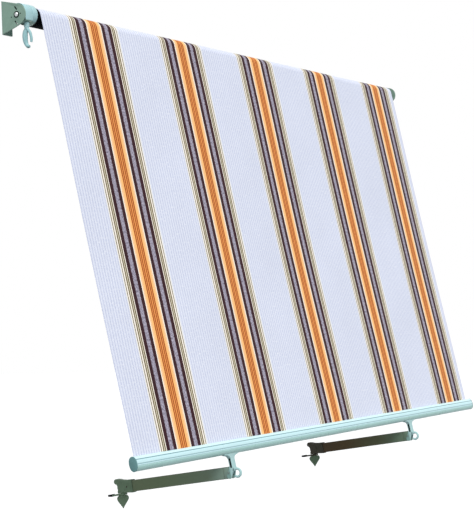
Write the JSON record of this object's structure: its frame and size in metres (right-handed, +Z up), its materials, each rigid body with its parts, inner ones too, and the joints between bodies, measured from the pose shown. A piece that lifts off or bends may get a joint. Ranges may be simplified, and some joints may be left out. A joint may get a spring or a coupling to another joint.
{
  "type": "fabric awning",
  "caption": "Roll-up drop awning: striped cloth on a crank-geared roller between two wall brackets, fluted front bar, and two strut arms with rail clamps.",
  "frame": {"origin": "middle of the left wall bracket's face on the wall", "axes": "+X along the roller from the gear end to the idler end, +Y into the wall, +Z up"},
  "size_m": [2.4578, 0.5004, 1.5332],
  "materials": {
    "bracket_paint": "sage green enamel on pressed steel, satin",
    "gear_plastic": "pale mint-blue moulded housing, soft gloss",
    "bright_steel": "zinc-plated steel, satin",
    "roller_black": "black painted tube, satin",
    "keder_plastic": "off-white extruded rod",
    "fabric": "woven awning cloth, off-white ground with five groups of lengthwise stripes",
    "bar_enamel": "pale aqua powder coat on fluted aluminium, satin",
    "cap_plastic": "grey-teal moulded end cap",
    "hook_plastic": "mint moulded plastic",
    "left_arm_paint": "grey-green enamel on tube",
    "right_arm_paint": "dark brown-green enamel on tube",
    "left_clamp_plastic": "grey-green moulded clamp",
    "right_clamp_plastic": "dark moulded clamp"
  },
  "bodies": {
    "frame": {"wall_bracket_left": "bracket_paint", "wall_bracket_right": "bracket_paint", "gear_housing": "gear_plastic", "gear_cover": "gear_plastic", "gear_bolt": "bright_steel", "idler_pin": "bright_steel", "fabric": "fabric"},
    "roller": {"roller_tube": "roller_black", "roller_keder_rod": "keder_plastic", "drive_plug": "roller_black", "idler_plug": "roller_black", "worm_wheel": "bright_steel"},
    "crank": {"worm_shaft": "bright_steel", "crank_eye": "gear_plastic", "crank_eye_pin": "bright_steel"},
    "bar": {"front_bar": "bar_enamel", "front_bar_cap_left": "cap_plastic", "front_bar_cap_right": "cap_plastic", "bar_keder_rod": "keder_plastic"},
    "hook_left": {"hook_bracket_left": "hook_plastic"},
    "arm_left": {"arm_tube_left": "left_arm_paint", "arm_plug_left": "left_arm_paint", "arm_pivot_pin_left": "bright_steel", "rail_jaw_left": "left_clamp_plastic"},
    "lip_left": {"rail_lip_left": "left_clamp_plastic"},
    "screw_left": {"thumb_screw_left": "left_clamp_plastic"},
    "hook_right": {"hook_bracket_right": "hook_plastic"},
    "arm_right": {"arm_tube_right": "right_arm_paint", "arm_plug_right": "right_arm_paint", "arm_pivot_pin_right": "bright_steel", "rail_jaw_right": "right_clamp_plastic"},
    "lip_right": {"rail_lip_right": "right_clamp_plastic"},
    "screw_right": {"thumb_screw_right": "right_clamp_plastic"}
  },
  "joints": [
    {"name": "fabric_travel", "type": "slide", "parent": "frame", "child": "bar", "axis": [0, 0.2079, 0.9781], "range_m": [0, 1.2], "deforming": ["fabric"]},
    {"name": "roller_spin", "type": "hinge", "parent": "frame", "child": "roller", "pos_m": [0, -0.0578, 0.0032], "axis": [-1, 0, 0], "range_deg": [0, 2420]},
    {"name": "crank_spin", "type": "hinge", "parent": "frame", "child": "crank", "pos_m": [0, -0.075, 0.0032], "axis": [0, 0, -1], "range_deg": [0, 26600]},
    {"name": "hook_slide_left", "type": "slide", "parent": "bar", "child": "hook_left", "axis": [1, 0, 0], "range_m": [-0.3, 0.45]},
    {"name": "arm_swing_left", "type": "hinge", "parent": "hook_left", "child": "arm_left", "pos_m": [0.55, -0.36434, -1.36343], "axis": [1, 0, 0], "range_deg": [-80, 3]},
    {"name": "lip_lift_left", "type": "slide", "parent": "arm_left", "child": "lip_left", "axis": [0, 0.1323, 0.9912], "range_m": [-0.008, 0]},
    {"name": "thumb_turn_left", "type": "hinge", "parent": "lip_left", "child": "screw_left", "pos_m": [0.55, 0.04378, -1.4199], "axis": [0, 0.1323, 0.9912], "range_deg": [-1930, 0]},
    {"name": "hook_slide_right", "type": "slide", "parent": "bar", "child": "hook_right", "axis": [1, 0, 0], "range_m": [-0.45, 0.35]},
    {"name": "arm_swing_right", "type": "hinge", "parent": "hook_right", "child": "arm_right", "pos_m": [1.83, -0.36434, -1.36343], "axis": [1, 0, 0], "range_deg": [-80, 3]},
    {"name": "lip_lift_right", "type": "slide", "parent": "arm_right", "child": "lip_right", "axis": [0, 0.1323, 0.9912], "range_m": [-0.008, 0]},
    {"name": "thumb_turn_right", "type": "hinge", "parent": "lip_right", "child": "screw_right", "pos_m": [1.83, 0.04378, -1.4199], "axis": [0, 0.1323, 0.9912], "range_deg": [-1930, 0]}
  ],
  "couplings": [
    {"joint": "roller_spin", "follows": "fabric_travel", "rad_per_m": 34.843},
    {"joint": "crank_spin", "follows": "fabric_travel", "rad_per_m": 383.28},
    {"joint": "thumb_turn_left", "follows": "lip_lift_left", "rad_per_m": 4188.8},
    {"joint": "thumb_turn_right", "follows": "lip_lift_right", "rad_per_m": 4188.8}
  ]
}
